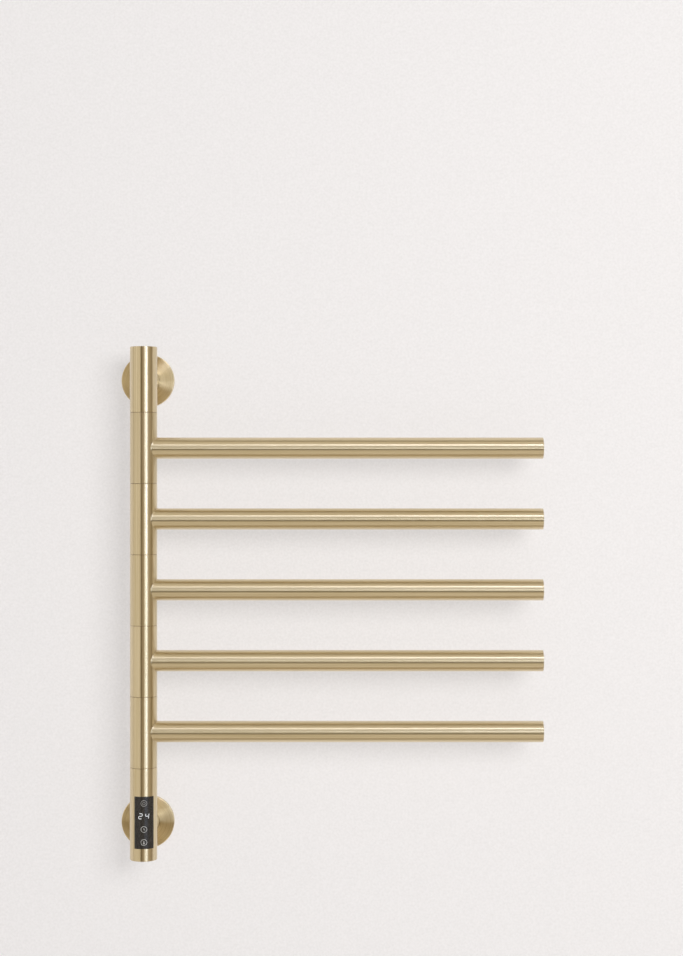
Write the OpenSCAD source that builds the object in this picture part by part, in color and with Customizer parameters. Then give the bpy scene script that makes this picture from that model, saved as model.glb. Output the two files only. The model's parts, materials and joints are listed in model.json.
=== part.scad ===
// Swivel heated towel rail. A round column stands off the wall on two brackets. Between its two
// fixed sleeves it is a stack of collars, each with one heated arm, that turn on an inner spine.
// Origin: centre of the lower wall plate, on the wall. +X along the arms, -Y into the room, +Z up.

/* [Column] */
// Outside diameter of the column
column_d = 32; // [31:0.5:40]
// Wall thickness of the sleeves and collars
column_wall = 1.5; // [1:0.25:1.75]
// Height from one seam to the next, which is also the spacing of the arms
seam_pitch = 83; // [72:1:120]
// Number of arms
arm_count = 5; // [2:1:5]
// Gap between neighbouring lengths of the column
seam_gap = 0.4; // [0.4:0.1:1]
// Length of the fixed sleeve above the top seam
top_length = 77; // [68:1:120]
// Rounding of the edges at the seams
seam_edge = 0.2; // [0.1:0.1:0.5]
// Rounding of the outer edge at the capped ends
end_edge = 0.6; // [0.2:0.1:0.7]

/* [Arms] */
// Outside diameter of an arm
arm_d = 25; // [20:0.5:28]
// Wall thickness of an arm
arm_wall = 1.5; // [1:0.25:2.5]
// Distance from the column's axis to the end of an arm
arm_reach = 468; // [250:1:600]
// Angle that each arm swings through, from along the wall on one side to the other
swing = 180; // [90:5:200]
// Diameter of the hole that takes an arm's leads through the collar
lead_port_d = 14; // [8:1:16]

/* [Caps] */
// Thickness of the disc that closes a tube
cap_thickness = 3; // [2:0.5:5]
// Length of the skirt that holds a cap in its tube
cap_skirt = 7; // [5:0.5:8]
// Wall thickness of the skirt
cap_skirt_wall = 2.5; // [2:0.25:3]
// Cord diameter of the seals round the column's caps
seal_d = 1.8; // [1:0.1:2]

/* [Controls] */
// How far the controls are turned from straight out towards the arms, in degrees
control_turn = 8.5; // [-10:0.5:10]
// Width of the touch glass, straight across
glass_width = 22; // [18:0.2:24]
// Height of the touch glass
glass_height = 60.5; // [52:0.5:90]
// Height of the glass above the column's bottom end
glass_rise = 15; // [13:0.5:40]
// Height from the top of the glass to the lowest seam
glass_to_seam = 32.5; // [32:0.5:60]
// Gap round the glass in its window
glass_gap = 0.15; // [0.1:0.05:0.3]
// Thickness of the gasket behind the glass
gasket_thickness = 0.7; // [0.5:0.1:1]
// How far the gasket laps behind the glass and behind the sleeve
gasket_lap = 2; // [1:0.5:2]
// Width of the control board
board_width = 20; // [18:0.5:20]
// Thickness of the control board
board_thickness = 1.6; // [1:0.2:2]
// Wall thickness of the board's carrier
carrier_wall = 1.5; // [1:0.25:2]
// Width of the carrier's rails beside the board
carrier_rail = 1; // [0.8:0.1:1.2]
// Height of the posts that hold the board off its carrier
post_height = 2; // [1.5:0.25:2]
// Diameter of the posts
post_d = 4; // [3:0.5:5]
// Distance from a post to the board's edge
post_margin = 0.5; // [0.2:0.1:1]
// Diameter of the board screws
board_screw_d = 2; // [1.6:0.2:2]
// Width of the display
display_width = 15; // [12:0.5:15]
// Height of the display
display_height = 8.5; // [6:0.5:10]
// Diameter of a touch pad
pad_d = 6.4; // [4:0.4:8]
// Diameter of the temperature sensor
sensor_d = 3.2; // [2:0.2:4]
// Length of the temperature sensor
sensor_length = 5; // [3:0.5:5]
// Gap between the temperature sensor and the carrier below it
sensor_gap = 0.5; // [0.3:0.1:1]

/* [Spine] */
// Outside diameter of the spine that the collars turn on
spine_d = 22; // [20:0.5:23]
// Wall thickness of the spine
spine_wall = 2; // [1.5:0.25:2.5]
// Length of the plugs that hold the spine in the sleeves
plug_length = 20; // [12:1:20]
// Thickness of the flange at the foot of the spine
flange_thickness = 3; // [2:0.5:3]
// How far that flange stands out from the spine
flange_width = 2; // [1:0.5:2]
// Height of the slots that let the leads out of the spine
slot_height = 12; // [6:1:16]
// How far each slot runs past the arm at either end of its swing, in degrees
slot_margin = 20; // [10:5:20]
// Height of the tension nut
nut_height = 6; // [4:0.5:8]
// Clearance round the tension nut in the sleeve
nut_margin = 0.5; // [0.3:0.1:1]
// Width of the spanner slots in the nut's rim
spanner_slot = 4; // [3:0.5:5]
// Depth of the spanner slots
spanner_slot_depth = 1.5; // [1:0.1:1.6]
// Thickness of the coned spring washer under the nut
spring_thickness = 0.8; // [0.5:0.1:1]
// Height that the spring washer's cone adds
spring_rise = 0.6; // [0.3:0.1:1]
// Clearance round the spring washer in the sleeve
spring_margin = 0.8; // [0.5:0.1:1.2]
// Length of spine that shows above the nut
spine_overrun = 2; // [1:0.5:3]

/* [Bushes and stops] */
// Length of a bush
bush_length = 14; // [8:1:16]
// Height of the dog that meets the stop
dog_height = 9; // [5:1:10]
// Width of the dog, in degrees round the spine
dog_angle = 16; // [10:1:24]
// Thickness of a thrust washer
washer_thickness = 0.3; // [0.2:0.05:0.4]
// How far the washers lie inside the column's surface
washer_inset = 0.6; // [0.4:0.1:1]

/* [Heating rods and leads] */
// Diameter of a heating rod
rod_d = 10; // [6:0.5:12]
// Distance from the column's axis to the near end of a rod
rod_start = 34; // [28:1:60]
// Distance from the far end of a rod to the end of the arm
rod_clearance = 22; // [15:1:60]
// Length of the rings that centre a rod in its arm
rod_ring_length = 4; // [3:0.5:8]
// Number of those rings
rod_rings = 3; // [2:1:5]
// Diameter of a heater lead
lead_d = 2.6; // [2:0.1:2.8]
// Angle between neighbouring leads in the spine
lead_angle = 22; // [20:1:26]
// Width of the terminal block
block_width = 16; // [14:0.5:17]
// Depth of the terminal block, away from the carrier
block_depth = 12; // [11:0.5:13]
// Height of the terminal block
block_height = 22; // [15:1:26]
// Distance from the top of the carrier down to the terminal block
block_drop = 4; // [2:0.5:8]

/* [Brackets] */
// Distance from the wall to the column's axis
standoff = 54; // [44:1:90]
// Height of the lower bracket above the column's bottom end
lower_bracket_rise = 35; // [34:1:60]
// Height of the upper bracket above the top seam
upper_bracket_rise = 40; // [36:1:50]
// Outside diameter of a stem
stem_d = 28; // [22:0.5:29]
// Wall thickness of a stem
stem_wall = 2; // [1.5:0.25:2.5]
// Diameter of the lead's way from a stem into the column
passage_d = 14; // [10:0.5:14]
// Outside diameter of a wall rose
rose_d = 63; // [56:1:80]
// How far a rose stands off the wall
rose_depth = 7; // [6.5:0.5:10]
// Thickness of a rose
rose_wall = 1.2; // [0.8:0.1:1.5]
// Rounding of a rose's edge
rose_edge = 1; // [0.4:0.2:1.2]
// Clearance round a wall plate inside its rose
plate_margin = 2.3; // [1:0.1:3]
// Thickness of a wall plate
plate_thickness = 4; // [3:0.5:4.5]
// Length of the boss that a stem slides onto
boss_length = 18; // [15:0.5:20]
// Distance between a plate's two screw holes
screw_spacing = 38; // [36:1:40]
// Diameter of the wall screw holes
screw_hole_d = 5.2; // [4:0.1:5.5]
// Diameter of the countersinks for the screw heads
countersink_d = 9.6; // [8:0.2:10]
// Diameter of the cable entry at the wall
entry_d = 14; // [10:0.5:14]
// Depth of the cable entry
entry_depth = 10; // [6:0.5:11]
// Diameter of the hole that holds the cable grommet
grommet_d = 12; // [9:0.5:12]
// Diameter of the mains lead that the grommet takes
cable_d = 7; // [5:0.5:8]
// Diameter of the grommet's flange
grommet_flange_d = 16; // [15:0.5:19]
// Thickness of the grommet's flange
grommet_flange = 2; // [1:0.5:3]
// Diameter of the grub screws
grub_d = 5; // [3:0.5:5]
// Distance from a boss's face to its grub screw
grub_from_face = 8; // [5:0.5:9]
// How deep a grub screw reaches into its boss
grub_depth = 2.8; // [1.5:0.1:3]
// How far a grub screw's end lies inside the stem's surface
grub_recess = 0.3; // [0.1:0.1:1]

/* [Clearances] */
// Radial clearance of a bush on the spine
running_gap = 0.05; // [0.03:0.01:0.08]
// Clearance of pieces that are pushed together and stay put
fitted_gap = 0.05; // [0.02:0.01:0.08]
// Clearance of pieces that slide over each other when the rail is put up
sliding_gap = 0.1; // [0.05:0.05:0.2]
// Clearance between turning and fixed pieces that don't bear on each other
free_gap = 0.35; // [0.3:0.05:0.5]

/* [Hidden] */
$fn = 96;
brass = "#C9AD7C";
steel = "#B9BCC0";
polymer = "#2B2B2D";
bearing = "#84644A";
rubber = "#1A1A1B";
glass = "#08090A";
ivory = "#E8E4DA";
copper = "#B4532E";
fibreglass = "#1F5B3A";

column_r = column_d / 2;
column_bore_r = column_r - column_wall;
arm_r = arm_d / 2;
arm_bore_r = arm_r - arm_wall;
spine_r = spine_d / 2;
spine_bore_r = spine_r - spine_wall;
stem_r = stem_d / 2;
stem_bore_r = stem_r - stem_wall;
boss_r = stem_bore_r - sliding_gap;
plate_r = rose_d / 2 - rose_wall - plate_margin;

bottom_length = glass_rise + glass_height + glass_to_seam;
column_bottom = -lower_bracket_rise;
function seam_z(k) = column_bottom + bottom_length + k * seam_pitch;
column_top = seam_z(arm_count) + top_length;
seal_height = -cap_thickness - cap_skirt / 2;
upper_bracket_z = seam_z(arm_count) + upper_bracket_rise;
collar_length = seam_pitch - seam_gap;
// Arm 1 is the top one.
function collar_z(n) = seam_z(arm_count - n) + seam_gap / 2;
function arm_z(n) = collar_z(n) + collar_length / 2;

glass_z = column_bottom + glass_rise;
glass_top = glass_z + glass_height;
glass_half_angle = asin(glass_width / 2 / column_r);
// The rows on the glass, from the top: a touch mark, the display and two more touch marks
glass_rows = 4;
display_row = 1;
function row_z(row) = glass_top - (row + 0.5) * glass_height / glass_rows;
function arc_angle(length, radius) = length / radius * 180 / PI;

gasket_r = column_bore_r - fitted_gap;
carrier_r = gasket_r - gasket_thickness - fitted_gap;
carrier_z = glass_z - gasket_lap;
carrier_height = glass_height + 2 * gasket_lap;
pocket_half_width = board_width / 2 + sliding_gap;
// Distances in front of the column's axis
board_front = sqrt(pow(carrier_r, 2) - pow(pocket_half_width + carrier_rail, 2));
board_back = board_front - board_thickness;
web_front = board_back - post_height;
web_back = web_front - carrier_wall;
display_front = sqrt(pow(column_bore_r, 2) - pow(display_width / 2, 2)) - free_gap;
board_height = carrier_height - 2 * carrier_wall - 2 * sliding_gap;
board_screw_x = board_width / 2 - post_d / 2 - post_margin;
board_screw_z = (row_z(display_row) + row_z(display_row + 1)) / 2;
chip_z = (row_z(display_row + 1) + row_z(display_row + 2)) / 2;
block_top = carrier_z + carrier_height - block_drop;
// Screw heads and keys, as shares of the thread's diameter
head_width = 1.8;
head_height = 0.6;
key_width = 0.55;

lower_plug_z = seam_z(0) - seam_gap / 2 - plug_length;
upper_plug_z = seam_z(arm_count) + seam_gap / 2;
spine_foot = lower_plug_z - flange_thickness;
spring_z = upper_plug_z + plug_length;
nut_z = spring_z + spring_thickness + spring_rise;
spine_head = nut_z + nut_height + spine_overrun;
lead_circle_r = spine_bore_r - lead_d / 2 - sliding_gap;

// The dog points at the wall when the arm is at rest. It turns with the arm, by -swing at most.
dog_azimuth = 90;
dog_side = dog_angle / 2 + arc_angle(free_gap, spine_r);

// Places

module at_column(z) {
    translate([0, -standoff, z]) children();
}

// Local -Y points out through the middle of the touch glass.
module at_controls(z) {
    at_column(z) rotate([0, 0, control_turn]) children();
}

// Local +Z points away from the wall.
module on_wall(z) {
    translate([0, 0, z]) rotate([90, 0, 0]) children();
}

// Local +Z points along the arm, from the column's axis.
module along_arm(n) {
    at_column(arm_z(n)) rotate([0, 90, 0]) children();
}

// Shapes that repeat

module ring(r_out, r_in, height) {
    difference() {
        cylinder(r = r_out, h = height);
        translate([0, 0, -1]) cylinder(r = r_in, h = height + 2);
    }
}

module sector(r_out, r_in, height, from, span) {
    rotate([0, 0, from]) rotate_extrude(angle = span)
        translate([r_in, 0]) square([r_out - r_in, height]);
}

// A tube with its outer edges rounded by foot at its lower end and head at its upper end
module eased_tube(r_out, wall, length, foot, head) {
    low = min(foot, wall / 2);
    high = min(head, wall / 2);
    rotate_extrude() translate([r_out - wall, 0]) {
        square([wall - low, length / 2]);
        translate([0, length / 2]) square([wall - high, length / 2]);
        translate([0, low]) square([wall, length - low - high]);
        if (low > 0) translate([wall - low, low]) circle(r = low);
        translate([wall - high, length - high]) circle(r = high);
    }
}

// A disc with a skirt below it. Its outer face is at z = 0.
module cap(bore_r) {
    r = bore_r - fitted_gap;
    translate([0, 0, -cap_thickness]) cylinder(r = r, h = cap_thickness);
    translate([0, 0, -cap_thickness - cap_skirt])
        ring(r, r - cap_skirt_wall, cap_skirt + cap_thickness / 2);
}

module column_cap() {
    difference() {
        cap(column_bore_r);
        translate([0, 0, seal_height - seal_d / 2 - fitted_gap])
            ring(column_r, column_bore_r - seal_d, seal_d + 2 * fitted_gap);
    }
}

module cap_seal() {
    translate([0, 0, seal_height]) rotate_extrude()
        translate([column_bore_r - seal_d / 2 - fitted_gap / 2, 0]) circle(d = seal_d - fitted_gap);
}

// Column

module passage() {
    rotate([-90, 0, 0]) cylinder(d = passage_d, h = column_r + 1);
}

module top_sleeve() {
    foot_z = seam_z(arm_count) + seam_gap / 2;
    color(brass) at_column(0) difference() {
        translate([0, 0, foot_z])
            eased_tube(column_r, column_wall, column_top - foot_z, seam_edge, end_edge);
        translate([0, 0, upper_bracket_z]) passage();
    }
}

module bottom_sleeve() {
    head_z = seam_z(0) - seam_gap / 2;
    gap_angle = arc_angle(glass_gap, column_r);
    color(brass) at_column(0) difference() {
        translate([0, 0, column_bottom])
            eased_tube(column_r, column_wall, head_z - column_bottom, end_edge, seam_edge);
        passage();
        translate([0, 0, glass_z - glass_gap]) rotate([0, 0, control_turn])
            sector(column_r + 1, column_bore_r - 1, glass_height + 2 * glass_gap,
                -90 - glass_half_angle - gap_angle, 2 * (glass_half_angle + gap_angle));
    }
}

module top_cap() {
    color(brass) at_column(column_top) column_cap();
}

module bottom_cap() {
    color(brass) at_column(column_bottom) mirror([0, 0, 1]) column_cap();
}

module cap_seals() {
    color(rubber) {
        at_column(column_top) cap_seal();
        at_column(column_bottom) mirror([0, 0, 1]) cap_seal();
    }
}

// Spine

// Local +X points to the middle of the arms' swing, and the slots lie evenly to either side of it.
module spine_tube() {
    color(steel) at_column(0) rotate([0, 0, -swing / 2]) difference() {
        union() {
            translate([0, 0, spine_foot]) cylinder(r = spine_r, h = spine_head - spine_foot);
            translate([0, 0, spine_foot])
                cylinder(r = spine_r + flange_width, h = flange_thickness - fitted_gap);
        }
        translate([0, 0, spine_foot - 1])
            cylinder(r = spine_bore_r, h = spine_head - spine_foot + 2);
        for (n = [1:arm_count])
            translate([0, 0, arm_z(n) - slot_height / 2])
                sector(spine_r + 1, spine_bore_r - 1, slot_height,
                    -swing / 2 - slot_margin, swing + 2 * slot_margin);
    }
}

module spine_plug(z) {
    color(steel) at_column(z)
        ring(column_bore_r - fitted_gap, spine_r + fitted_gap, plug_length);
}

module upper_spine_plug() {
    spine_plug(upper_plug_z);
}

module lower_spine_plug() {
    spine_plug(lower_plug_z);
}

module spring_washer() {
    inner = spine_r + sliding_gap;
    outer = column_bore_r - spring_margin;
    color(steel) at_column(spring_z) rotate_extrude() polygon([
        [inner, spring_rise],
        [outer, 0],
        [outer, spring_thickness],
        [inner, spring_rise + spring_thickness]
    ]);
}

module tension_nut() {
    nut_r = column_bore_r - nut_margin;
    color(steel) at_column(nut_z) difference() {
        ring(nut_r, spine_r + fitted_gap, nut_height);
        for (turn = [0:90:270])
            rotate([0, 0, turn])
                translate([nut_r - spanner_slot_depth, -spanner_slot / 2, nut_height / 2])
                    cube([2 * spanner_slot_depth, spanner_slot, nut_height]);
    }
}

module thrust_washers() {
    color(bearing)
        for (k = [0:arm_count])
            at_column(seam_z(k) - washer_thickness / 2)
                ring(column_r - washer_inset, spine_r + sliding_gap, washer_thickness);
}

module stop_segments() {
    color(steel)
        for (n = [1:arm_count])
            at_column(collar_z(n) + bush_length + free_gap)
                sector(column_bore_r - free_gap, spine_r + fitted_gap, dog_height,
                    dog_azimuth + dog_side, 360 - swing - 2 * dog_side);
}

// One lead for each arm, up the side of the spine that has no slots
module heater_leads() {
    color(copper)
        for (n = [1:arm_count]) {
            azimuth = dog_azimuth + (n - (arm_count + 1) / 2) * lead_angle;
            at_column(block_top) rotate([0, 0, azimuth]) translate([lead_circle_r, 0, 0])
                cylinder(d = lead_d, h = arm_z(n) - block_top);
        }
}

// Brackets

module stem(z) {
    grub_y = plate_thickness + grub_from_face;
    color(brass) difference() {
        on_wall(z) translate([0, 0, plate_thickness])
            ring(stem_r, stem_bore_r, standoff - plate_thickness);
        at_column(z - column_r) cylinder(r = column_r, h = column_d);
        translate([0, -grub_y, z - stem_r - 1]) cylinder(d = grub_d, h = stem_wall + 3);
    }
}

module upper_stem() {
    stem(upper_bracket_z);
}

module lower_stem() {
    stem(0);
}

module rose(z) {
    color(brass) on_wall(z) difference() {
        rotate_extrude() {
            square([rose_d / 2 - rose_edge, rose_depth]);
            square([rose_d / 2, rose_depth - rose_edge]);
            translate([rose_d / 2 - rose_edge, rose_depth - rose_edge]) circle(r = rose_edge);
        }
        translate([0, 0, -1]) cylinder(r = rose_d / 2 - rose_wall, h = rose_depth - rose_wall + 1);
        cylinder(r = stem_r + sliding_gap, h = rose_depth + 1);
    }
}

module upper_rose() {
    rose(upper_bracket_z);
}

module lower_rose() {
    rose(0);
}

module wall_plate(z) {
    face = plate_thickness + boss_length;
    sink = (countersink_d - screw_hole_d) / 2;
    color(steel) on_wall(z) difference() {
        union() {
            cylinder(r = plate_r, h = plate_thickness - fitted_gap);
            cylinder(r = boss_r, h = face);
        }
        translate([0, 0, -1]) cylinder(d = entry_d, h = entry_depth + 1);
        cylinder(d = grommet_d, h = face + 1);
        for (side = [-1, 1])
            translate([side * screw_spacing / 2, 0, 0]) {
                translate([0, 0, -1]) cylinder(d = screw_hole_d, h = plate_thickness + 2);
                translate([0, 0, plate_thickness - fitted_gap - sink])
                    cylinder(d1 = screw_hole_d, d2 = countersink_d, h = sink);
            }
        // Local -Y is down.
        translate([0, -boss_r + grub_depth, plate_thickness + grub_from_face]) rotate([90, 0, 0])
            cylinder(d = grub_d, h = grub_depth + 1);
    }
}

module upper_wall_plate() {
    wall_plate(upper_bracket_z);
}

module lower_wall_plate() {
    wall_plate(0);
}

module grub_screw(z) {
    length = stem_r - grub_recess - boss_r + grub_depth;
    translate([0, -plate_thickness - grub_from_face, z - stem_r + grub_recess]) difference() {
        cylinder(d = grub_d - fitted_gap, h = length);
        translate([0, 0, -1]) cylinder(d = grub_d * key_width, h = 1 + length / 2, $fn = 6);
    }
}

module grub_screws() {
    color(steel)
        for (z = [0, upper_bracket_z]) grub_screw(z);
}

module cable_grommet() {
    face = plate_thickness + boss_length;
    color(rubber) on_wall(0) difference() {
        union() {
            translate([0, 0, entry_depth + fitted_gap])
                cylinder(d = grommet_d - 2 * fitted_gap, h = face - entry_depth);
            translate([0, 0, face]) cylinder(d = grommet_flange_d, h = grommet_flange);
        }
        cylinder(d = cable_d, h = face + grommet_flange + 1);
    }
}

// Controls

module control_glass() {
    color(glass) at_controls(glass_z)
        sector(column_r, column_bore_r, glass_height, -90 - glass_half_angle, 2 * glass_half_angle);
}

module glass_gasket() {
    lap_angle = arc_angle(gasket_lap, column_bore_r);
    outer_half = glass_half_angle + lap_angle;
    inner_half = glass_half_angle - lap_angle;
    color(rubber) at_controls(0) difference() {
        translate([0, 0, carrier_z])
            sector(gasket_r, gasket_r - gasket_thickness, carrier_height,
                -90 - outer_half, 2 * outer_half);
        translate([0, 0, glass_z + gasket_lap])
            sector(gasket_r + 1, gasket_r - gasket_thickness - 1, glass_height - 2 * gasket_lap,
                -90 - inner_half, 2 * inner_half);
    }
}

// Posts stand on the carrier's web, one each side of the board.
module at_board_screws() {
    for (side = [-1, 1])
        at_controls(board_screw_z) translate([side * board_screw_x, 0, 0]) rotate([90, 0, 0])
            children();
}

module control_carrier() {
    color(polymer) difference() {
        union() {
            difference() {
                at_controls(carrier_z) intersection() {
                    cylinder(r = carrier_r, h = carrier_height);
                    translate([-carrier_r, -board_front, 0])
                        cube([2 * carrier_r, board_front - web_back, carrier_height]);
                }
                at_controls(carrier_z + carrier_wall)
                    translate([-pocket_half_width, -board_front - 1, 0])
                        cube([2 * pocket_half_width, board_front + 1 - web_front,
                            carrier_height - 2 * carrier_wall]);
            }
            at_board_screws() translate([0, 0, web_back])
                cylinder(d = post_d, h = board_back - web_back);
        }
        at_board_screws() translate([0, 0, web_front])
            cylinder(d = board_screw_d, h = post_height + 1);
    }
}

module control_board() {
    chip = 7;
    chip_height = 1;
    color(fibreglass) difference() {
        union() {
            at_controls(carrier_z + carrier_wall + sliding_gap)
                translate([-board_width / 2, -board_front, 0])
                    cube([board_width, board_thickness, board_height]);
            at_controls(chip_z - chip / 2)
                translate([-chip / 2, -board_front - chip_height, 0])
                    cube([chip, chip_height + board_thickness / 2, chip]);
        }
        at_board_screws() translate([0, 0, board_back - 1])
            cylinder(d = board_screw_d + 2 * sliding_gap, h = board_thickness + 2);
    }
}

module board_screws() {
    head = board_screw_d * head_height;
    color(steel) at_board_screws() difference() {
        union() {
            translate([0, 0, web_front])
                cylinder(d = board_screw_d - fitted_gap, h = board_front - web_front);
            translate([0, 0, board_front]) cylinder(d = board_screw_d * head_width, h = head);
        }
        translate([0, 0, board_front + head / 2])
            cylinder(d = board_screw_d * key_width, h = head, $fn = 6);
    }
}

module display_module() {
    color(polymer) at_controls(row_z(display_row) - display_height / 2)
        translate([-display_width / 2, -display_front, 0])
            cube([display_width, display_front - board_front, display_height]);
}

module touch_pads() {
    color(rubber)
        for (row = [0:glass_rows - 1])
            if (row != display_row)
                at_controls(row_z(row)) intersection() {
                    rotate([90, 0, 0]) translate([0, 0, board_front])
                        cylinder(d = pad_d, h = column_r - board_front);
                    translate([0, 0, -pad_d]) cylinder(r = column_bore_r - sliding_gap, h = 2 * pad_d);
                }
}

module temperature_sensor() {
    sensor_r = column_bore_r - sensor_d / 2 - sliding_gap;
    color(ivory) at_controls(carrier_z + carrier_height + sensor_gap) translate([0, -sensor_r, 0])
        cylinder(d = sensor_d, h = sensor_length);
}

module terminal_block() {
    poles = 3;
    rows = 2;
    pole_pitch = block_width / poles;
    row_pitch = block_height / rows;
    screw_well = pole_pitch * 0.7;
    well_depth = 3;
    color(ivory) at_controls(block_top - block_height) translate([-block_width / 2, -web_back, 0])
        difference() {
            cube([block_width, block_depth, block_height]);
            for (pole = [0.5:poles], row = [0.5:rows])
                translate([pole * pole_pitch, block_depth + 1, row * row_pitch]) rotate([90, 0, 0])
                    cylinder(d = screw_well, h = well_depth + 1);
        }
}

// Arms

module arm_collar(n) {
    color(brass) at_column(0) difference() {
        translate([0, 0, collar_z(n)])
            eased_tube(column_r, column_wall, collar_length, seam_edge, seam_edge);
        translate([0, 0, arm_z(n)]) rotate([0, 90, 0]) cylinder(d = lead_port_d, h = column_r + 1);
    }
}

module arm_tube(n) {
    color(brass) difference() {
        along_arm(n) eased_tube(arm_r, arm_wall, arm_reach, 0, end_edge);
        at_column(arm_z(n) - column_r) cylinder(r = column_r, h = column_d);
    }
}

module arm_end_cap(n) {
    color(brass) along_arm(n) translate([0, 0, arm_reach]) cap(arm_bore_r);
}

module arm_bushes(n) {
    bush_r = column_bore_r - fitted_gap;
    bush_bore_r = spine_r + running_gap;
    color(bearing) {
        at_column(collar_z(n) + collar_length - bush_length) ring(bush_r, bush_bore_r, bush_length);
        at_column(collar_z(n)) {
            ring(bush_r, bush_bore_r, bush_length);
            translate([0, 0, bush_length / 2])
                sector(bush_r - free_gap, spine_r + free_gap, bush_length / 2 + dog_height,
                    dog_azimuth - dog_angle / 2, dog_angle);
        }
    }
}

module arm_heating_rod(n) {
    rod_length = arm_reach - rod_clearance - rod_start;
    tail_start = spine_r + free_gap;
    ring_step = (rod_length - rod_ring_length) / (rod_rings - 1);
    color(steel) along_arm(n) {
        translate([0, 0, rod_start]) cylinder(d = rod_d, h = rod_length);
        translate([0, 0, tail_start]) cylinder(d = lead_d, h = rod_start - tail_start + 1);
        for (i = [0:rod_rings - 1])
            translate([0, 0, rod_start + i * ring_step])
                cylinder(r = arm_bore_r - sliding_gap, h = rod_ring_length);
    }
}

top_sleeve();
top_cap();
bottom_sleeve();
bottom_cap();
cap_seals();
spine_tube();
upper_spine_plug();
lower_spine_plug();
spring_washer();
tension_nut();
thrust_washers();
stop_segments();
heater_leads();
upper_stem();
lower_stem();
upper_rose();
lower_rose();
upper_wall_plate();
lower_wall_plate();
grub_screws();
cable_grommet();
control_glass();
glass_gasket();
control_carrier();
control_board();
board_screws();
display_module();
touch_pads();
temperature_sensor();
terminal_block();
for (n = [1:arm_count]) {
    arm_collar(n);
    arm_tube(n);
    arm_end_cap(n);
    arm_bushes(n);
    arm_heating_rod(n);
}
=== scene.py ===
import json
import math

import bmesh
import bpy
from mathutils import Matrix, Vector


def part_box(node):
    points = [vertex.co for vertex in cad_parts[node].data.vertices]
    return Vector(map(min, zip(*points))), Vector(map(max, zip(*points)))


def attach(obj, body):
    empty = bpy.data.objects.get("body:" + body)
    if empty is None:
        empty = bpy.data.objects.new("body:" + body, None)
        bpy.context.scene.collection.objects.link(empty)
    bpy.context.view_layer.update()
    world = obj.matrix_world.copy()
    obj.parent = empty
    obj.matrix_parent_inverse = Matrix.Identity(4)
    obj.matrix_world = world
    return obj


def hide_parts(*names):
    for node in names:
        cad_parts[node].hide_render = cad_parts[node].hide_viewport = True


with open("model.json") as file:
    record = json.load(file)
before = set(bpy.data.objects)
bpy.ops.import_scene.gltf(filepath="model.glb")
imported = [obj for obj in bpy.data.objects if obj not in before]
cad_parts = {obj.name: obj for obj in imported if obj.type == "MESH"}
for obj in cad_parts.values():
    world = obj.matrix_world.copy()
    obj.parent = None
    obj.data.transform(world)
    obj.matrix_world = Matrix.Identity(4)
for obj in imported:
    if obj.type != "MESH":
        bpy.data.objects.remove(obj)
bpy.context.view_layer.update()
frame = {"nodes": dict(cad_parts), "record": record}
nodes = frame["nodes"]
mm = 0.001
print("frame loaded,", len(nodes), "CAD pieces")


# Camera: a 69 mm view from 2.2 m off the wall, square on, as the rail was photographed
camera = {"place": (0.2319, -2.204, 0.4115), "lens": 69.1, "seesTo": 50}

lens = bpy.data.cameras.new("camera")
lens.lens = camera["lens"]
lens.clip_end = camera["seesTo"]
cameraObject = bpy.data.objects.new("camera", lens)
cameraObject.location = camera["place"]
cameraObject.rotation_euler = (math.pi / 2, 0, 0)
bpy.context.scene.collection.objects.link(cameraObject)
bpy.context.scene.camera = cameraObject
bpy.context.scene.view_settings.view_transform = "Standard"


# Colours and nodes
def fromHex(code):
    # sRGB hex to the linear colour that sockets and lamps take
    channels = [int(code[i:i + 2], 16) / 255 for i in (1, 3, 5)]
    return [c / 12.92 if c <= 0.04045 else ((c + 0.055) / 1.055) ** 2.4 for c in channels] + [1]


def feed(tree, node, inputs):
    # a socket, or a node by its first output, is linked; a plain value is set
    for key, value in inputs.items():
        if isinstance(value, bpy.types.Node):
            value = value.outputs[0]
        if isinstance(value, bpy.types.NodeSocket):
            tree.links.new(value, node.inputs[key])
        else:
            node.inputs[key].default_value = value


def addNode(tree, kind, inputs=None, **settings):
    node = tree.nodes.new(kind)
    for name, value in settings.items():
        setattr(node, name, value)
    feed(tree, node, inputs or {})
    return node


def startMaterial(name):
    material = bpy.data.materials.new(name)
    material.use_nodes = True
    tree = material.node_tree
    return material, tree, tree.nodes["Principled BSDF"]


def realSize(tree, spacing, source="Object"):
    # coordinates for a pattern whose one unit is `spacing` millimetres along each axis
    unit = mm if source == "Object" else 1  # the UV map is laid in millimetres already
    coordinates = addNode(tree, "ShaderNodeTexCoord").outputs[source]
    return addNode(tree, "ShaderNodeMapping",
                   {"Vector": coordinates, "Scale": [1 / (s * unit) for s in spacing]})


# Brass tube and plate, brushed along tubes and turned on discs, then lacquered: a warm, pale gold
# whose highlights stay crisp round a tube and smear along it, with hair-fine streaks. Real brushing
# lines lie about a tenth of a millimetre apart; they are drawn at 1.5 mm, so that they show.
# UV u runs along the blur and v round the piece, in millimetres.
brass = {"tube": ("#E6D5B1", "#CDBB91"), "tubeStreaks": (420, 1.5, 1),
         # the turned colours are the tube brass painted lighter and yellower: painted light that
         # brightens the roses and caps
         "turned": ("#EFDCB2", "#D4BE8D"), "turnedStreaks": (0.4, 25, 1),
         "streakDetail": 5.0, "streakContrast": 0.68, "hairs": (0.36, 0.64), "seeds": 90.0,
         "roughness": 0.31, "streakSwing": 0.05, "patchSwing": 0.02, "patch": 38,
         "anisotropy": 1.0, "bump": 0.12, "depth": 0.01, "lacquer": 0.5, "lacquerRoughness": 0.15,
         "softer": 0.05}


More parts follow.
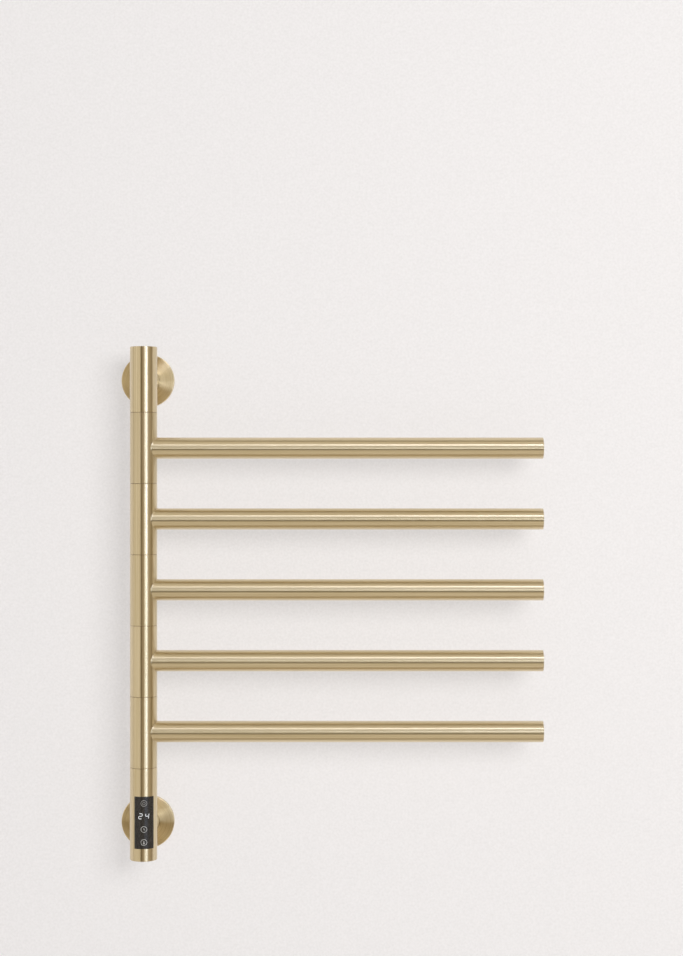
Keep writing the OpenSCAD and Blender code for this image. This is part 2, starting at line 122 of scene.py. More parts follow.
def brushedBrass(name, colours, streaks, softer=0.0):
    material, tree, shader = startMaterial(name)
    # every piece was brushed by itself, so each has streaks of its own
    own = addNode(tree, "ShaderNodeObjectInfo").outputs["Random"]
    place = addNode(tree, "ShaderNodeMath", {0: own, 1: brass["seeds"]}, operation="MULTIPLY")
    fine = addNode(tree, "ShaderNodeTexNoise",
                   {"Vector": realSize(tree, streaks, "UV"), "W": place, "Scale": 1.0,
                    "Detail": brass["streakDetail"], "Roughness": brass["streakContrast"]},
                   noise_dimensions="4D")
    # handling and polishing leave broad, very faint patches a few centimetres long
    broad = addNode(tree, "ShaderNodeTexNoise",
                    {"Vector": realSize(tree, (brass["patch"],) * 3), "Scale": 1.0, "Detail": 2.0})
    # the noise keeps to its middle, so that is spread out until single hairs of the brushing show
    low, high = brass["hairs"]
    hairs = addNode(tree, "ShaderNodeMapRange", {"Value": fine, "From Min": low, "From Max": high})
    pale, deep = colours
    colour = addNode(tree, "ShaderNodeMix", {0: hairs, 6: fromHex(deep), 7: fromHex(pale)},
                     data_type="RGBA").outputs[2]
    swings = [addNode(tree, "ShaderNodeMapRange", {"Value": source, "To Min": -size, "To Max": size})
              for source, size in ((fine, brass["streakSwing"]), (broad, brass["patchSwing"]))]
    swing = addNode(tree, "ShaderNodeMath", {0: swings[0], 1: swings[1]})
    feed(tree, shader, {
        "Base Color": colour,
        "Roughness": addNode(tree, "ShaderNodeMath", {0: swing, 1: brass["roughness"] + softer}),
        "Normal": addNode(tree, "ShaderNodeBump", {"Height": fine, "Strength": brass["bump"],
                                                   "Distance": brass["depth"] * mm}),
        "Tangent": addNode(tree, "ShaderNodeTangent", direction_type="UV_MAP", uv_map="grain"),
        "Metallic": 1,
        "Anisotropic": brass["anisotropy"],
        "Coat Weight": brass["lacquer"],
        "Coat Roughness": brass["lacquerRoughness"],
    })
    return material


tubeBrass = brushedBrass("brushedBrassTube", brass["tube"], brass["tubeStreaks"])
# the uppermost collar's highlights are softer than the others', as from a harder brushing
softTubeBrass = brushedBrass("brushedBrassTubeSofter", brass["tube"], brass["tubeStreaks"],
                             brass["softer"])
# the discs take the lighter, yellower copy of the brass, whose extra brightness is painted light
turnedBrass = brushedBrass("turnedBrassDisc", brass["turned"], brass["turnedStreaks"])


# One finish with a fine texture of its own: the texture runs from the dark colour to the light one
# and from the lower roughness to the higher, and may raise the surface by `depth` millimetres
def texturedFinish(name, spacing, light, dark, roughness, detail=3.0, contrast=(0, 1), bump=0.0,
                   depth=0.0, **sockets):
    material, tree, shader = startMaterial(name)
    texture = addNode(tree, "ShaderNodeTexNoise",
                      {"Vector": realSize(tree, spacing), "Scale": 1.0, "Detail": detail})
    share = addNode(tree, "ShaderNodeMapRange",
                    {"Value": texture, "From Min": contrast[0], "From Max": contrast[1]})
    colour = addNode(tree, "ShaderNodeMix", {0: share, 6: fromHex(dark), 7: fromHex(light)},
                     data_type="RGBA").outputs[2]
    rough = addNode(tree, "ShaderNodeMapRange",
                    {"Value": texture, "To Min": roughness[0], "To Max": roughness[1]})
    feed(tree, shader, {"Base Color": colour, "Roughness": rough, **sockets})
    if bump:
        feed(tree, shader, {"Normal": addNode(tree, "ShaderNodeBump", {
            "Height": texture, "Strength": bump, "Distance": depth * mm})})
    return material


# Toughened glass, polished and painted on its back: near black under a gloss, with a faint dust of
# speckles. The dust is finer than a pixel, and is drawn at half a millimetre so that it shows.
glass = texturedFinish("backPaintedGlass", (0.55, 0.55, 0.55), "#4B4744", "#22201E", (0.16, 0.24),
                       contrast=(0.45, 0.72), IOR=1.52)
# Ink printed behind the glass: flat, slightly uneven, in white, in grey and nearly as dark as the glass
ink = {"spacing": (0.5, 0.5, 0.5), "roughness": (0.3, 0.4), "detail": 2.0}
brightPrint = texturedFinish("screenPrintedWhiteInk", light="#D2D2D0", dark="#BDBDBB", **ink)
dimPrint = texturedFinish("screenPrintedGreyInk", light="#A2A19F", dark="#8D8C8A", **ink)
unlit = texturedFinish("screenPrintedBlackInk", light="#343230", dark="#2D2B29", **ink)


# Moulded polycarbonate over a lamp: cool white light, a little cloudy
def litPolycarbonate():
    material, tree, shader = startMaterial("mouldedPolycarbonateLit")
    cloud = addNode(tree, "ShaderNodeTexNoise",
                    {"Vector": realSize(tree, (0.8, 0.8, 0.8)), "Scale": 1.0})
    glow = addNode(tree, "ShaderNodeMix", {0: cloud, 6: fromHex("#E8ECEE"), 7: fromHex("#FFFFFF")},
                   data_type="RGBA").outputs[2]
    feed(tree, shader, {"Emission Color": glow, "Emission Strength": 0.95,
                        "Base Color": fromHex("#202020"), "Roughness": 0.2})
    return material


lit = litPolycarbonate()

# Finishes of the inner parts, by the slot that the record gives them
lathe = {"bump": 0.2, "depth": 0.02, "Metallic": 1}
innerFinishes = {
    # steel off the lathe: satin grey with fine turning lines about the wall axis
    "turned_steel": texturedFinish("turnedSteel", (0.3, 6, 0.3), "#C9CACC", "#A9ABAE", (0.26, 0.42),
                                   **lathe),
    # zinc-plated steel: brighter, bluish and faintly mottled
    "zinc_plated_steel": texturedFinish("zincPlatedSteel", (1.4, 1.4, 1.4), "#D3D6DA", "#B4B9C0",
                                        (0.2, 0.36), **lathe),
    # drawn steel: darker, browned by heat, with long draw lines
    "rod_steel": texturedFinish("drawnSteel", (30, 0.4, 0.4), "#A49E98", "#86807B", (0.34, 0.5),
                                **lathe),
    # PTFE filled with bronze, turned: dull bronze brown
    "bush_polymer": texturedFinish("turnedBronzePtfe", (0.4, 0.4, 0.4), "#9A7858", "#80624A",
                                   (0.39, 0.51), bump=0.3, depth=0.01, IOR=1.38),
    # silicone rubber, moulded: soft black without a gloss
    "black_rubber": texturedFinish("mouldedSiliconeRubber", (0.25, 0.25, 0.25), "#2A2A2B", "#1D1D1E",
                                   (0.56, 0.68), bump=0.3, depth=0.02, IOR=1.41),
    # glass-filled nylon, moulded: black with a low sheen
    "carrier_polymer": texturedFinish("mouldedGlassNylon", (0.3, 0.3, 0.3), "#323235", "#242427",
                                      (0.44, 0.56), bump=0.3, depth=0.02, IOR=1.53),
    # solder mask, printed on the board: glossy, slightly cloudy green
    "circuit_board": texturedFinish("printedSolderMask", (1.1, 1.1, 1.1), "#1F6B41", "#175234",
                                    (0.26, 0.38), bump=0.3, depth=0.01, IOR=1.55),
    # polyamide, moulded: warm off-white
    "ivory_polymer": texturedFinish("mouldedPolyamide", (0.5, 0.5, 0.5), "#E9E4D6", "#DAD3C2",
                                    (0.36, 0.48), bump=0.3, depth=0.01, IOR=1.53),
    # silicone sheath, extruded: brick red with a soft sheen
    "lead_silicone": texturedFinish("extrudedSilicone", (0.8, 0.8, 0.8), "#A84A30", "#8C3A25",
                                    (0.44, 0.56), bump=0.3, depth=0.01, IOR=1.41),
}
print("materials made")


# Making pieces. Points nearer than `tiny` are one; heights or radii within `close` are the same.
tiny, close = 1e-6, 1e-5
grain = {"radius": 16 * mm}
rounding = {"corner": 4, "edge": 3, "sharp": 1.0}


def spinProfile(points, rounds, steps, closed=True):
    # points are (radius, height); rounds gives the radius of a corner by its place in points
    bm = bmesh.new()
    verts = [bm.verts.new((r, 0, z)) for r, z in points]
    around = verts + verts[:1] if closed else verts
    for a, b in zip(around, around[1:]):
        bm.edges.new((a, b))
    for corner, radius in rounds.items():
        bmesh.ops.bevel(bm, geom=[verts[corner]], offset=radius, offset_type="OFFSET",
                        segments=rounding["corner"], profile=0.5, affect="VERTICES", material=-1)
    bmesh.ops.spin(bm, geom=bm.verts[:] + bm.edges[:], cent=(0, 0, 0), axis=(0, 0, 1),
                   angle=2 * math.pi, steps=steps, use_merge=True)
    bmesh.ops.remove_doubles(bm, verts=bm.verts, dist=tiny)
    bmesh.ops.recalc_face_normals(bm, faces=bm.faces)
    return bm


def isSharp(edge):
    return len(edge.link_faces) == 2 and edge.calc_face_angle() > rounding["sharp"]


def roundEdges(bm, edges, radius):
    bmesh.ops.bevel(bm, geom=edges, offset=radius, offset_type="OFFSET", segments=rounding["edge"],
                    profile=0.5, affect="EDGES", clamp_overlap=True, material=-1)


def thicken(bm, thickness):
    # an open skin round the Z axis becomes a wall whose outer side is where the skin was
    bmesh.ops.recalc_face_normals(bm, faces=bm.faces)
    for face in bm.faces:
        middle = face.calc_center_median()
        if face.normal.dot(Vector((middle.x, middle.y, 0))) < 0:
            face.normal_flip()
    bmesh.ops.solidify(bm, geom=bm.faces[:], thickness=thickness)
    bmesh.ops.recalc_face_normals(bm, faces=bm.faces)


def layGrain(bm, along):
    # the UV map that the brushing follows: u from along(point), v round the local Z axis
    layer = bm.loops.layers.uv.new("grain")
    for face in bm.faces:
        middle = face.calc_center_median()
        home = math.atan2(middle.y, middle.x)
        for loop in face.loops:
            co = loop.vert.co
            angle = math.atan2(co.y, co.x) if math.hypot(co.x, co.y) > tiny else home
            angle += round((home - angle) / (2 * math.pi)) * 2 * math.pi
            loop[layer].uv = (along(co) / mm, angle * grain["radius"] / mm)


def tubeAlong(low, high, outer):
    # runs on over the end faces, so that the brushing goes radially there
    middle = (low + high) / 2
    return lambda co: co.z + math.copysign(outer - math.hypot(co.x, co.y), co.z - middle)


def discAlong(co):
    # outwards over the face and on down the rim
    return math.hypot(co.x, co.y) - co.z


def finishPiece(bm, name, body, material, stands=(), place=None):
    if place:
        bm.transform(place)
    for face in bm.faces:
        face.smooth = True
    mesh = bpy.data.meshes.new(name)
    bm.to_mesh(mesh)
    bm.free()
    mesh.materials.append(material)
    piece = bpy.data.objects.new(name, mesh)
    bpy.context.scene.collection.objects.link(piece)
    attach(piece, body)
    if stands:
        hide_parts(*stands)
    return piece


collarLow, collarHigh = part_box("arm_1_collar")
columnRadius = (collarHigh.x - collarLow.x) / 2
columnAxis = Vector(((collarLow.x + collarHigh.x) / 2, (collarLow.y + collarHigh.y) / 2, 0))
onColumn = Matrix.Translation(columnAxis)

# Column: five collars that turn and the fixed top sleeve, each a length of 32 mm tube
column = {"wall": 1.5 * mm, "seamEdge": 0.2 * mm, "endEdge": 0.6 * mm, "innerEdge": 0.15 * mm,
          "support": 0.9 * mm, "steps": 128}


def columnTube(node, body, material, foot, head):
    low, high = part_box(node)
    outer, inner = columnRadius, columnRadius - column["wall"]
    near = column["support"]
    points = [(outer, low.z), (outer, low.z + near), (outer, high.z - near), (outer, high.z),
              (inner, high.z), (inner, low.z)]
    rounds = {0: foot, 3: head, 4: column["innerEdge"], 5: column["innerEdge"]}
    bm = spinProfile(points, rounds, column["steps"])
    layGrain(bm, tubeAlong(low.z, high.z, outer))
    return finishPiece(bm, node + "_brass", body, material, [node], onColumn)


for n in range(1, 6):
    columnTube(f"arm_{n}_collar", f"arm_{n}", softTubeBrass if n == 1 else tubeBrass,
               column["seamEdge"], column["seamEdge"])
columnTube("top_sleeve", "column", tubeBrass, column["seamEdge"], column["endEdge"])
print("collars and top sleeve made")

# Bottom sleeve: the same tube with the window for the touch glass
window = {"gap": 0.2 * mm, "edge": 0.12 * mm, "steps": 32, "restSteps": 104}
glassLow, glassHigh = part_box("control_glass")
glassFrom, glassTo = (math.asin((x - columnAxis.x) / columnRadius) for x in (glassLow.x, glassHigh.x))
glassHalf = (glassTo - glassFrom) / 2
facing = (glassFrom + glassTo) / 2 - math.pi / 2


def standingLine(bm, heights, angle):
    # a line of points up the column's face, ready to be spun
    start = Matrix.Rotation(angle, 4, "Z")
    verts = [bm.verts.new(start @ Vector((columnRadius, 0, z))) for z in heights]
    return verts + [bm.edges.new(pair) for pair in zip(verts, verts[1:])]


def sweep(bm, geometry, angle, steps):
    return bmesh.ops.spin(bm, geom=geometry, cent=(0, 0, 0), axis=(0, 0, 1), angle=angle,
                          steps=steps)["geom_last"]


def bottomSleeve():
    low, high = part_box("bottom_sleeve")
    outer, near = columnRadius, column["support"]
    sill, lintel = glassLow.z - window["gap"], glassHigh.z + window["gap"]
    half = glassHalf + window["gap"] / columnRadius
    heights = [low.z, low.z + near, sill - near, sill, sill + near, lintel - near, lintel,
               lintel + near, high.z - near, high.z]
    bm = bmesh.new()
    jamb = sweep(bm, standingLine(bm, heights, facing - half), 2 * half, window["steps"])
    sweep(bm, jamb, 2 * math.pi - 2 * half, window["restSteps"])
    bmesh.ops.remove_doubles(bm, verts=bm.verts, dist=tiny)
    opening = []
    for face in bm.faces:
        middle = face.calc_center_median()
        off = (math.atan2(middle.y, middle.x) - facing + math.pi) % (2 * math.pi) - math.pi
        if abs(off) < half and sill < middle.z < lintel:
            opening.append(face)
    bmesh.ops.delete(bm, geom=opening, context="FACES")
    thicken(bm, column["wall"])
    groups = {"foot": [], "head": [], "window": []}
    for edge in filter(isSharp, bm.edges):
        a, b = (v.co for v in edge.verts)
        if min(math.hypot(a.x, a.y), math.hypot(b.x, b.y)) < outer - close:
            continue
        where = (a.z + b.z) / 2
        name = "foot" if where < low.z + close else "head" if where > high.z - close else "window"
        groups[name].append(edge)
    roundEdges(bm, groups["foot"], column["endEdge"])
    roundEdges(bm, groups["head"], column["seamEdge"])
    roundEdges(bm, groups["window"], window["edge"])
    layGrain(bm, tubeAlong(low.z, high.z, outer))
    return finishPiece(bm, "bottom_sleeve_brass", "column", tubeBrass, ["bottom_sleeve"],
                       onColumn)


bottomSleeve()

# Touch glass: a curved panel, flush with the sleeve
touch = {"edge": 0.25 * mm, "support": 0.6 * mm, "steps": 36}


def touchGlass():
    near = touch["support"]
    heights = [glassLow.z, glassLow.z + near, glassHigh.z - near, glassHigh.z]
    bm = bmesh.new()
    sweep(bm, standingLine(bm, heights, facing - glassHalf), 2 * glassHalf, touch["steps"])
    thicken(bm, column["wall"])
    roundEdges(bm, list(filter(isSharp, bm.edges)), touch["edge"])
    return finishPiece(bm, "touch_glass", "column", glass, ["control_glass"], onColumn)


touchGlass()
print("bottom sleeve and touch glass made")

# Marks on the glass, laid out flat in millimetres and then wrapped round it.
# The digits are a slanted seven-segment 24, which any such display can show.
marks = {"rows": 4, "shift": -0.3, "ringRadius": 3.45, "line": 0.55, "ringStep": 7.5, "leastSteps": 8,
         "barCuts": (8, 2), "barTip": 0.08, "lift": 0.03 * mm}
display = {"row": 1, "rise": 0.2, "height": 6.0, "width": 3.9, "stroke": 0.75, "slant": 0.12,
           "gap": 0.16, "digits": {"2": -4.0, "4": 3.8}, "lit": {"2": "abged", "4": "fgbc"}}


def flatRing(bm, x, y, radius, line, fromAngle=0.0, toAngle=360.0):
    span = toAngle - fromAngle
    start = Matrix.Rotation(math.radians(fromAngle), 3, "Z")
    ends = [bm.verts.new(start @ Vector((r, 0, 0)) + Vector((x, y, 0)))
            for r in (radius - line / 2, radius + line / 2)]
    edge = bm.edges.new(ends)
    bmesh.ops.spin(bm, geom=ends + [edge], cent=(x, y, 0), axis=(0, 0, 1), angle=math.radians(span),
                   steps=max(marks["leastSteps"], int(span / marks["ringStep"])),
                   use_merge=span == 360)


def flatBar(bm, ax, ay, bx, by, wide, point):
    # a bar from a to b that narrows to a tip over the length `point` at each end
    length = math.hypot(bx - ax, by - ay)
    across, up = marks["barCuts"]
    made = bmesh.ops.create_grid(bm, x_segments=across, y_segments=up, size=0.5)
    for v in made["verts"]:
        reach = max(0.0, abs(v.co.x) - (0.5 - point / length)) * length
        narrowed = wide * max(marks["barTip"], 1 - reach / point)
        v.co = Vector((v.co.x * length, v.co.y * narrowed, 0))
    turn = Matrix.Rotation(math.atan2(by - ay, bx - ax), 4, "Z")
    move = Matrix.Translation(((ax + bx) / 2, (ay + by) / 2, 0))
    bmesh.ops.transform(bm, matrix=move @ turn, verts=made["verts"])


def wrapMarks(bm, name, material, row, rise=0.0):
    # stands the flat marks up on the glass at their row, counted from the top
    bmesh.ops.remove_doubles(bm, verts=bm.verts, dist=close)
    height = glassHigh.z - (row + 0.5) * (glassHigh.z - glassLow.z) / marks["rows"]
    outer = columnRadius + marks["lift"]
    for v in bm.verts:
        angle = facing + (v.co.x + marks["shift"]) * mm / columnRadius
        v.co = Vector((outer * math.cos(angle), outer * math.sin(angle), height + (v.co.y + rise) * mm))
    thicken(bm, 2 * marks["lift"])
    return finishPiece(bm, name, "column", material, place=onColumn)


def digitSegments(centre):
    high, wide, gap = display["height"] / 2, display["width"] / 2, display["gap"]
    ends = {"a": (-wide, high, wide, high), "g": (-wide, 0, wide, 0), "d": (-wide, -high, wide, -high),
            "f": (-wide, 0, -wide, high), "b": (wide, 0, wide, high),
            "e": (-wide, -high, -wide, 0), "c": (wide, -high, wide, 0)}
    for letter, (ax, ay, bx, by) in ends.items():
        length = math.hypot(bx - ax, by - ay)
        dx, dy = (bx - ax) / length * gap, (by - ay) / length * gap
        yield letter, [centre + ax + dx + (ay + dy) * display["slant"], ay + dy,
                       centre + bx - dx + (by - dy) * display["slant"], by - dy]


litMesh, darkMesh = bmesh.new(), bmesh.new()
for digit, centre in display["digits"].items():
    for letter, ends in digitSegments(centre):
        target = litMesh if letter in display["lit"][digit] else darkMesh
        flatBar(target, *ends, display["stroke"], display["stroke"] / 2)
wrapMarks(litMesh, "display_digits", lit, display["row"], display["rise"])
wrapMarks(darkMesh, "display_unlit", unlit, display["row"], display["rise"])

# inside each mark's ring: bars (from x, y, to x, y, width, tip) and arcs (x, y, radius, line, from, to)
icons = [
    {"name": "power_mark", "row": 0, "print": dimPrint, "arcs": [(0, -0.1, 1.6, 0.5, 120, 420)],
     "bars": [(0, 0.2, 0, 1.9, 0.5, 0.1)]},
    {"name": "clock_mark", "row": 2, "print": brightPrint, "arcs": [],
     "bars": [(0, -0.1, 0, 1.7, 0.5, 0.1), (-0.1, 0.1, 1.1, -1.1, 0.5, 0.1)]},
    {"name": "heat_mark", "row": 3, "print": brightPrint, "arcs": [(0, -1.1, 0.5, 1.0)],
     "bars": [(0, -1.0, 0, 1.9, 0.9, 0.4)]},
]
for icon in icons:
    iconMesh = bmesh.new()
    flatRing(iconMesh, 0, 0, marks["ringRadius"], marks["line"])
    for bar in icon["bars"]:
        flatBar(iconMesh, *bar)
    for arc in icon["arcs"]:
        flatRing(iconMesh, *arc)
    wrapMarks(iconMesh, icon["name"], icon["print"], icon["row"])
print("marks on the glass made")

# Caps: flush turned discs in the column's ends and in the arms' ends
caps = {"thick": 3 * mm, "edge": 0.2 * mm, "support": 0.6 * mm, "ring": 0.5, "steps": 96}


def cap(node, body, outward):
    # outward is the way the cap's face looks
    low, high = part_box(node)
    centre = (low + high) / 2
    outward = Vector(outward)
    radius = max((high - low).dot(Vector(side)) for side in
                 ((1, 0, 0), (0, 1, 0), (0, 0, 1)) if not outward.dot(side)) / 2
    face = centre + outward * abs((high - low).dot(outward)) / 2
    points = [(0, 0), (radius * caps["ring"], 0), (radius - caps["support"], 0), (radius, 0),
              (radius, -caps["thick"]), (0, -caps["thick"])]
    bm = spinProfile(points, {3: caps["edge"]}, caps["steps"], closed=False)
    layGrain(bm, discAlong)
    place = Matrix.Translation(face) @ outward.to_track_quat("Z", "Y").to_matrix().to_4x4()
    return finishPiece(bm, node + "_brass", body, turnedBrass, [node], place)


cap("top_cap", "column", (0, 0, 1))
cap("bottom_cap", "column", (0, 0, -1))
for n in range(1, 6):
    cap(f"arm_{n}_end_cap", f"arm_{n}", (1, 0, 0))
print("caps made")

# Arms and stems: tubes whose near end is coped to the column's round, with a fine polished weld there
cope = {"weld": 0.55 * mm, "flare": 0.3, "support": 0.9 * mm, "straight": 24 * mm,
        "innerEdge": 0.15 * mm, "steps": 128}
arm = {"wall": 1.5 * mm, "endEdge": 0.6 * mm}
stem = {"wall": 2 * mm}
# the ways that a profile's Z axis is turned: along the arms, into the wall and out of it
alongArms = Matrix(((0, 0, 1, 0), (0, 1, 0, 0), (-1, 0, 0, 0), (0, 0, 0, 1)))
intoWall = Matrix(((0, 1, 0, 0), (0, 0, 1, 0), (1, 0, 0, 0), (0, 0, 0, 1)))
outOfWall = Matrix(((1, 0, 0, 0), (0, 0, -1, 0), (0, 1, 0, 0), (0, 0, 0, 1)))


def copedTube(node, body, wall, reachesTo, turn, endEdge=0.0):
    # an end without an edge runs on into its rose
    low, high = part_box(node)
    outer, reach = (high.z - low.z) / 2, reachesTo(high)
    inner, weld, near, straight = outer - wall, cope["weld"], cope["support"], cope["straight"]
    points = [(outer + weld, 0), (outer + cope["flare"] * weld, cope["flare"] * weld), (outer, weld),
              (outer, weld + near), (outer, straight), (outer, reach - near), (outer, reach),
              (inner, reach), (inner, straight), (inner, 0)]
    rounds = {6: endEdge, 7: cope["innerEdge"]} if endEdge else {}
    bm = spinProfile(points, rounds, cope["steps"])
    for v in bm.verts:
        if v.co.z < straight - close:
            v.co.z += math.sqrt(columnRadius ** 2 - v.co.y ** 2)
    layGrain(bm, tubeAlong(0, reach if endEdge else reach * 2, outer))
    bmesh.ops.recalc_face_normals(bm, faces=bm.faces)
    place = Matrix.Translation((columnAxis.x, columnAxis.y, (low.z + high.z) / 2)) @ turn
    return finishPiece(bm, node + "_brass", body, tubeBrass, [node], place)


for n in range(1, 6):
    copedTube(f"arm_{n}_tube", f"arm_{n}", arm["wall"], lambda high: high.x - columnAxis.x,
              alongArms, arm["endEdge"])
for name in ("upper_stem", "lower_stem"):
    copedTube(name, "column", stem["wall"], lambda high: high.y - columnAxis.y, intoWall)
print("arms and stems made")

# Roses: shallow turned cups that hide the wall plates
rose = {"wall": 1.2 * mm, "edge": 1.0 * mm, "gap": 0.2 * mm, "holeEdge": 0.15 * mm,
        "support": 2 * mm, "holeSupport": 0.6 * mm, "steps": 160}


def wallRose(node, stemNode):
    low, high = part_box(node)
    stemLow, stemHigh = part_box(stemNode)
    outer, depth = (high.x - low.x) / 2, high.y - low.y
    hole = (stemHigh.x - stemLow.x) / 2 + rose["gap"]
    wall, near = rose["wall"], rose["support"]
    points = [(outer, 0), (outer, depth - near), (outer, depth), (outer - near, depth),
              (hole + rose["holeSupport"], depth), (hole, depth), (hole, depth - wall),
              (outer - wall, depth - wall), (outer - wall, 0)]
    bm = spinProfile(points, {2: rose["edge"], 5: rose["holeEdge"]}, rose["steps"])
    layGrain(bm, discAlong)
    centre = Vector(((low.x + high.x) / 2, high.y, (low.z + high.z) / 2))
    return finishPiece(bm, node + "_brass", "column", turnedBrass, [node],
                       Matrix.Translation(centre) @ outOfWall)


wallRose("upper_rose", "upper_stem")
wallRose("lower_rose", "lower_stem")
print("roses made")

# The rest keep their CAD shape and get the finish of their slot
for part in frame["record"]["subparts"]:
    finish = innerFinishes.get(part["material_slot"])
    if finish:
        slots = nodes[part["node"]].data.materials
        slots.clear()
        slots.append(finish)

# Wall and floor. The wall is cut out behind the roses and stands half a millimetre behind them.
room = {"wallFrom": (-3.0, -0.42), "wallTo": (3.5, 2.6), "wallBack": 0.5 * mm, "openRadius": 30 * mm,
        "openSteps": 64, "floorHalf": 3.25, "floorX": 0.25}
paint = {"roughness": 0.85, "specular": 0.2, "detail": 4.0, "bump": 0.2, "depth": 0.2}


def rollerPaint(name, light, dark, stipple, glow):
    # stipple is the roller's grain in millimetres; glow is the share of its own colour that the
    # surface shows, so that shadows on it stay faint
    material, tree, shader = startMaterial(name)
    texture = addNode(tree, "ShaderNodeTexNoise", {"Vector": realSize(tree, (stipple,) * 3),
                                                   "Scale": 1.0, "Detail": paint["detail"]})
    colour = addNode(tree, "ShaderNodeMix", {0: texture, 6: fromHex(dark), 7: fromHex(light)},
                     data_type="RGBA").outputs[2]
    feed(tree, shader, {
        "Base Color": colour,
        "Roughness": paint["roughness"],
        "Specular IOR Level": paint["specular"],
        "Normal": addNode(tree, "ShaderNodeBump", {"Height": texture, "Strength": paint["bump"],
                                                   "Distance": paint["depth"] * mm}),
    })
    rays = addNode(tree, "ShaderNodeLightPath").outputs
    looked = rays["Is Camera Ray"]
    for kind in ("Is Glossy Ray", "Is Transmission Ray"):
        looked = addNode(tree, "ShaderNodeMath", {0: looked, 1: rays[kind]}, operation="MAXIMUM")
    share = addNode(tree, "ShaderNodeMath", {0: looked, 1: glow}, operation="MULTIPLY")
    own = addNode(tree, "ShaderNodeEmission", {"Color": colour})
    face = addNode(tree, "ShaderNodeMixShader", {0: share, 1: shader, 2: own})
    # from behind it is clear, so that the back of the rail can be looked at
    side = addNode(tree, "ShaderNodeNewGeometry").outputs["Backfacing"]
    clear = addNode(tree, "ShaderNodeBsdfTransparent")
    mix = addNode(tree, "ShaderNodeMixShader", {0: side, 1: face, 2: clear})
    feed(tree, tree.nodes["Material Output"], {"Surface": mix})
    return material


def stagePlane(bm, name, material):
    mesh = bpy.data.meshes.new(name)
    bm.to_mesh(mesh)
    bm.free()
    mesh.materials.append(material)
    plane = bpy.data.objects.new(name, mesh)
    bpy.context.scene.collection.objects.link(plane)
    return plane


def wallWithHoles():
    bm = bmesh.new()
    (left, foot), (right, top) = room["wallFrom"], room["wallTo"]
    corners = [bm.verts.new((x, 0, z))
               for x, z in ((left, foot), (right, foot), (right, top), (left, top))]
    for a, b in zip(corners, corners[1:] + corners[:1]):
        bm.edges.new((a, b))
    upright = Matrix.Rotation(math.pi / 2, 4, "X")
    for node in ("upper_rose", "lower_rose"):
        low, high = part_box(node)
        centre = (low + high) / 2
        made = bmesh.ops.create_circle(bm, segments=room["openSteps"], radius=room["openRadius"])
        bmesh.ops.transform(bm, verts=made["verts"],
                            matrix=Matrix.Translation((centre.x, 0, centre.z)) @ upright)
    bmesh.ops.triangle_fill(bm, edges=bm.edges[:], use_beauty=True)
    for face in bm.faces:
        if face.normal.y > 0:
            face.normal_flip()
    bmesh.ops.translate(bm, verts=bm.verts, vec=(0, room["wallBack"], 0))
    return bm


def floorPlane():
    bm = bmesh.new()
    half = room["floorHalf"]
    bmesh.ops.create_grid(bm, x_segments=1, y_segments=1, size=half)
    bmesh.ops.translate(bm, verts=bm.verts, vec=(room["floorX"], -half, room["wallFrom"][1]))
    return bm


# emulsion rolled on plaster: a faintly warm white with a fine stipple
emulsion = rollerPaint("rolledEmulsion", "#F9F6F6", "#E7E4E3", 2.8, 0.62)
# floor paint rolled on screed: matt, a touch greyer, its stipple drawn broad so that it shows
floorPaint = rollerPaint("rolledFloorPaint", "#EAE6E1", "#E2DED9", 12.0, 0.6)
stagePlane(wallWithHoles(), "wall", emulsion)
floor = stagePlane(floorPlane(), "floor", floorPaint)
floor.visible_glossy = False  # the metal mirrors the room set out below, down to the floor

# Lamps: a large softbox lights the wall and everything dull. Two smaller panels on the right, one
# high and one low, are what the brushed metal mirrors. Each hangs at its place and points at the rail.
rail = (0.2, -0.054, 0.28)
lamps = [
    {"name": "softbox", "place": (1.66, -3.02, 1.25), "size": (1.75, 1.35), "watts": 80,
     "colour": "#FFFEFC", "hidden": "visible_glossy"},
    {"name": "panel", "place": (1.08, -2.05, 1.82), "size": (0.96, 0.68), "watts": 12.1,
     "colour": "#D5DEFF", "hidden": "visible_diffuse"},
    {"name": "lowPanel", "place": (1.06, -1.8, 0.38), "size": (0.3, 0.36), "watts": 2.1,
     "colour": "#DDE4FF", "hidden": "visible_diffuse"},
]
for light in lamps:
    data = bpy.data.lights.new(light["name"], "AREA")
    data.shape = "RECTANGLE"
    data.size, data.size_y = light["size"]
    data.energy = light["watts"]
    data.color = fromHex(light["colour"])[:3]
    lamp = bpy.data.objects.new(light["name"], data)
    lamp.location = light["place"]
    lamp.rotation_euler = (lamp.location - Vector(rail)).to_track_quat("Z", "Y").to_euler()
    setattr(lamp, light["hidden"], False)
    bpy.context.scene.collection.objects.link(lamp)

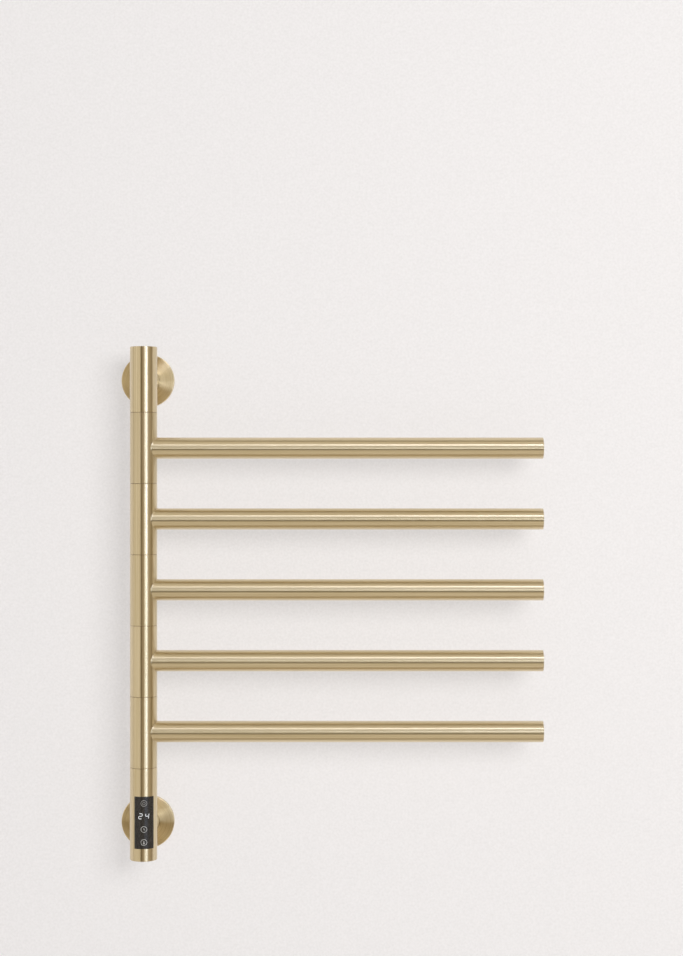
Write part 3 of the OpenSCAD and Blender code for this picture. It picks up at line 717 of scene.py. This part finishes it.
# The room as the metal sees it: pale walls with dark flags between them. In degrees: "round" from
# straight out of the wall towards the arms, "over" from there up and across the ceiling. A later
# patch lies over the earlier ones, and `soft` is the half width of its edge.
studio = {"ambient": ("#FFFFFF", 0.3), "background": ("#FFFDFB", 0.94), "pale": ("#FFFBF6", 1.2),
          "soft": 1.5}
warm, deepWarm = "#EFE0CC", "#EFD6AC"
patches = [
    {"name": "leftWall", "round": (-174, -20.5), "over": (-200, 200), "hex": "#FFFAF2", "light": 0.95},
    {"name": "rightStrip", "round": (17, 43.5), "over": (-12, 34), "hex": "#D4E4FF", "light": 2.05},
    {"name": "frontFlag", "round": (-20, 12), "over": (-70, 70), "hex": warm, "light": 0.56},
    {"name": "frontEdge", "round": (-20, -8), "over": (-70, 70), "hex": deepWarm, "light": 0.2},
    {"name": "rightFlag", "round": (44.5, 86), "over": (-70, 70), "hex": warm, "light": 0.66},
    {"name": "rightEdge", "round": (71, 86), "over": (-70, 70), "hex": deepWarm, "light": 0.3},
    {"name": "lowFlag", "round": (-75, 75), "over": (-24, -12), "hex": deepWarm, "light": 0.2},
    {"name": "underFlag", "round": (-181, 181), "over": (-100, -71), "hex": warm, "light": 0.6},
    {"name": "ceilingFlag", "round": (-181, 181), "over": (74, 119), "hex": warm, "light": 0.42},
]

world = bpy.data.worlds.new("studio")
bpy.context.scene.world = world
world.use_nodes = True
tree = world.node_tree
direction = addNode(tree, "ShaderNodeTexCoord").outputs["Generated"]
axes = addNode(tree, "ShaderNodeSeparateXYZ", {0: direction}).outputs
outward = addNode(tree, "ShaderNodeMath", {0: axes["Y"], 1: -1.0}, operation="MULTIPLY")
angles = {}
for turn, axis in (("round", "X"), ("over", "Z")):
    radians = addNode(tree, "ShaderNodeMath", {0: axes[axis], 1: outward}, operation="ARCTAN2")
    angles[turn] = addNode(tree, "ShaderNodeMath", {0: radians}, operation="DEGREES")


def within(angle, low, high):
    soft = studio["soft"]
    rising = addNode(tree, "ShaderNodeMapRange",
                     {"Value": angle, "From Min": low - soft, "From Max": low + soft},
                     interpolation_type="SMOOTHSTEP")
    falling = addNode(tree, "ShaderNodeMapRange",
                      {"Value": angle, "From Min": high - soft, "From Max": high + soft,
                       "To Min": 1.0, "To Max": 0.0}, interpolation_type="SMOOTHSTEP")
    return addNode(tree, "ShaderNodeMath", {0: rising, 1: falling}, operation="MULTIPLY")


def radiance(hexCode, light):
    return [c * light for c in fromHex(hexCode)[:3]] + [1]


mirrored = addNode(tree, "ShaderNodeRGB").outputs[0]
mirrored.default_value = radiance(*studio["pale"])
for patch in patches:
    masks = [within(angles[turn], *patch[turn]) for turn in ("round", "over")]
    mask = addNode(tree, "ShaderNodeMath", {0: masks[0], 1: masks[1]}, operation="MULTIPLY")
    mirrored = addNode(tree, "ShaderNodeMix",
                       {0: mask, 6: mirrored, 7: radiance(patch["hex"], patch["light"])},
                       data_type="RGBA", clamp_factor=True).outputs[2]
rays = addNode(tree, "ShaderNodeLightPath").outputs
through = addNode(tree, "ShaderNodeMath", {0: rays["Is Camera Ray"], 1: rays["Is Transmission Ray"]},
                  operation="MAXIMUM")
plain = addNode(tree, "ShaderNodeMix",
                {0: through, 6: radiance(*studio["ambient"]), 7: radiance(*studio["background"])},
                data_type="RGBA").outputs[2]
seen = addNode(tree, "ShaderNodeMix", {0: rays["Is Glossy Ray"], 6: plain, 7: mirrored},
               data_type="RGBA").outputs[2]
feed(tree, tree.nodes["Background"], {"Color": seen})
print("room and light made")
